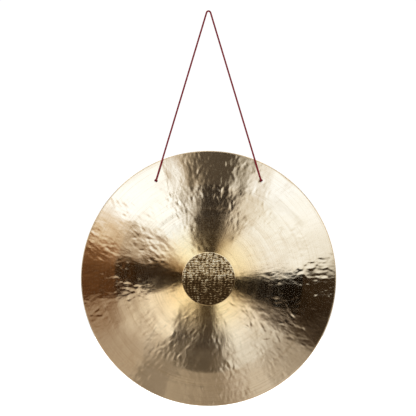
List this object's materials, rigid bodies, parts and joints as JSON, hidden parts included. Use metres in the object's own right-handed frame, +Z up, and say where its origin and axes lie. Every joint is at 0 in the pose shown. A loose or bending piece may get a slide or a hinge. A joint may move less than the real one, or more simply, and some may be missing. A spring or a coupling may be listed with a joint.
{
  "type": "tam tam gong",
  "caption": "Round flat hammered bronze gong with a flat textured centre spot, hung from a knotted red cord that passes through two holes near its top edge.",
  "frame": {"origin": "the underside of the cord's top bend, where the hook carries it", "axes": "+Z up along the hanging line; the gong's front faces -Y and its back +Y, so Y runs through the plate's thickness; +X to the right for someone looking at the front"},
  "size_m": [0.508, 0.0254, 0.7872],
  "materials": {
    "gong_bronze": "polished bronze, hammered and turned with fine rings, with a peened cross-hatched centre spot",
    "cord_red": "dark red braided cord, matt with a slight sheen"
  },
  "bodies": {
    "hook_bend": {"cord_top_bend": "cord_red"},
    "cord": {"cord_leg_left": "cord_red", "cord_leg_right": "cord_red"},
    "gong": {"gong_disc": "gong_bronze", "cord_pass_left": "cord_red", "cord_pass_right": "cord_red", "stopper_knot_left": "cord_red", "stopper_knot_right": "cord_red", "cord_tail_left": "cord_red", "cord_tail_right": "cord_red"}
  },
  "joints": [
    {"name": "cord_swing", "type": "hinge", "parent": "hook_bend", "child": "cord", "pos_m": [0, 0, -0.00132], "axis": [1, 0, 0], "range_deg": [-45, 45]},
    {"name": "gong_tilt", "type": "hinge", "parent": "cord", "child": "gong", "pos_m": [0, 0, -0.33411], "axis": [1, 0, 0], "range_deg": [-90, 0]}
  ]
}
